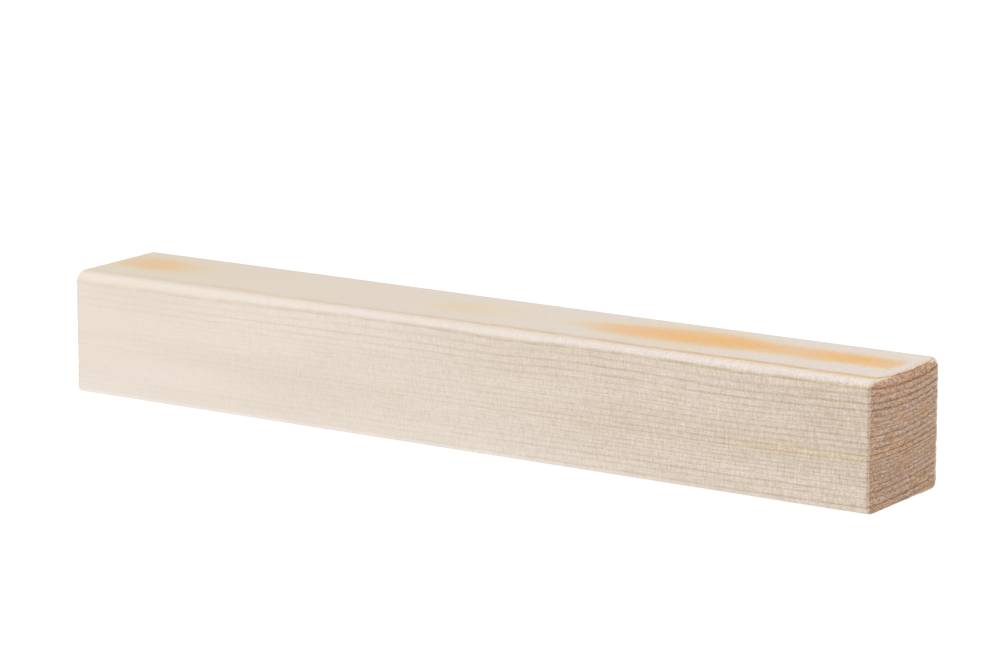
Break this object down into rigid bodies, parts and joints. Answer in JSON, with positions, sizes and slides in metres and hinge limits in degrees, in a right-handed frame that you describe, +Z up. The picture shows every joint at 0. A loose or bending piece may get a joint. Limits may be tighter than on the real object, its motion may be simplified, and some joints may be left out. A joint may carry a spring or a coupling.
{
  "type": "wooden bar",
  "caption": "Squared bar of bare planed softwood with rounded long edges and flat sawn ends, a plain rail for a bee-hive frame.",
  "frame": {"origin": "centre of the underside, on the surface the bar rests on", "axes": "+X along the bar's length and its grain, towards the end the viewer sees; -Y out of the front long face; +Z up, out of the top face"},
  "size_m": [0.174, 0.025, 0.024],
  "materials": {
    "planed_softwood": "bare planed softwood, fine sawn end grain"
  },
  "bodies": {
    "root": {"wooden_bar": "planed_softwood"}
  },
  "joints": []
}
